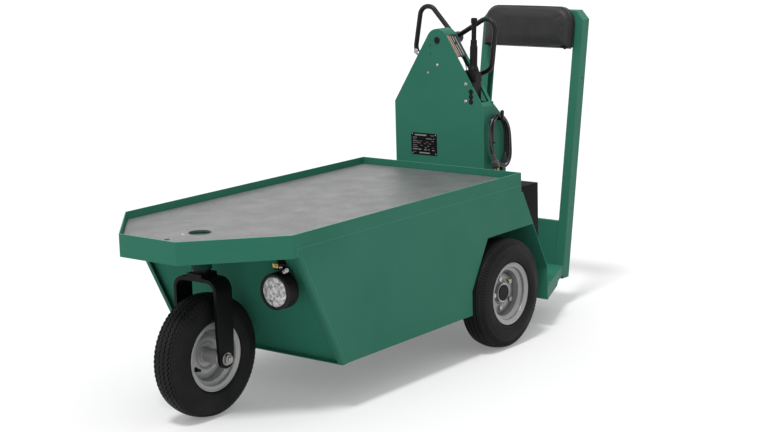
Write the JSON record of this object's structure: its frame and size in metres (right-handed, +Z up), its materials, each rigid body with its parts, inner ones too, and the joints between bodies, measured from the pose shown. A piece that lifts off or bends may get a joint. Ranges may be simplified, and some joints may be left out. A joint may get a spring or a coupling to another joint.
{
  "type": "electric burden carrier",
  "caption": "Stand-up electric works truck: low tray deck on a steered front wheel, control tower with butterfly yoke, step platform with padded backrest.",
  "frame": {"origin": "on the floor under the middle of the machine, at the bottom centre of its box", "axes": "+X to the vehicle's left, +Y to its rear, +Z up"},
  "size_m": [0.819, 2.2698, 1.2402],
  "materials": {
    "green_paint": "satin powder coat",
    "deck_surface": "matt, fine-grained",
    "black_plastic": "matt",
    "black_steel": "satin black enamel",
    "bright_steel": "zinc plated",
    "cast_metal": "painted casting",
    "tyre_rubber": "matt",
    "wheel_silver": "silver enamel",
    "pad_cover": "grained vinyl",
    "lamp_glass": "clear",
    "cord_rubber": "semi-matt"
  },
  "bodies": {
    "chassis": {"deck_rim": "green_paint", "deck_floor": "green_paint", "deck_mat": "deck_surface", "side_panel_left": "green_paint", "side_panel_right": "green_paint", "nose_panel": "green_paint", "bottom_pan": "green_paint", "rear_bulkhead": "green_paint", "deck_crossmembers": "green_paint", "drive_cover": "black_plastic", "steering_head": "green_paint", "tower_shell": "green_paint", "tower_back": "green_paint", "shaft_bushing": "black_plastic", "lever_housing": "black_plastic", "drive_lever": "black_plastic", "key_switch": "bright_steel", "step_platform": "green_paint", "kick_panel": "green_paint", "backrest_frame": "green_paint", "backrest_pad": "pad_cover", "foot_pedals": "black_steel", "headlamp_housing": "black_plastic", "headlamp_lens": "lamp_glass", "headlamp_bracket": "black_steel", "rear_axle": "cast_metal", "drive_motor": "cast_metal", "axle_hangers": "black_steel", "battery_block": "black_plastic", "cord_coil": "cord_rubber", "cord_lead_tower": "cord_rubber", "cord_lead_plug": "cord_rubber", "cord_hook": "black_steel", "cord_gland": "black_plastic", "charger_plug": "black_plastic"},
    "fork": {"fork": "black_steel", "kingpin": "bright_steel", "fork_axle": "bright_steel"},
    "front_wheel": {"front_tyre": "tyre_rubber", "front_rim": "wheel_silver", "front_hub": "cast_metal"},
    "rear_wheel_left": {"rear_tyre_left": "tyre_rubber", "rear_rim_left": "wheel_silver", "rear_hub_left": "cast_metal"},
    "rear_wheel_right": {"rear_tyre_right": "tyre_rubber", "rear_rim_right": "wheel_silver", "rear_hub_right": "cast_metal"},
    "yoke": {"yoke": "black_steel", "steering_shaft": "bright_steel"}
  },
  "joints": [
    {"name": "fork_steer", "type": "hinge", "parent": "chassis", "child": "fork", "pos_m": [0, -0.89791, 0.2055], "axis": [0, 0, 1], "range_deg": [-60, 60]},
    {"name": "front_wheel_roll", "type": "hinge", "parent": "fork", "child": "front_wheel", "pos_m": [0, -0.89791, 0.2055], "axis": [1, 0, 0], "continuous": true},
    {"name": "rear_wheel_left_roll", "type": "hinge", "parent": "chassis", "child": "rear_wheel_left", "pos_m": [0.3495, 0.30609, 0.2055], "axis": [1, 0, 0], "continuous": true},
    {"name": "rear_wheel_right_roll", "type": "hinge", "parent": "chassis", "child": "rear_wheel_right", "pos_m": [-0.3495, 0.30609, 0.2055], "axis": [1, 0, 0], "continuous": true},
    {"name": "yoke_turn", "type": "hinge", "parent": "chassis", "child": "yoke", "pos_m": [0, 0.54009, 1.115], "axis": [0, 1, 0], "range_deg": [-60, 60]}
  ],
  "couplings": [
    {"joint": "yoke_turn", "follows": "fork_steer", "ratio": 1}
  ]
}
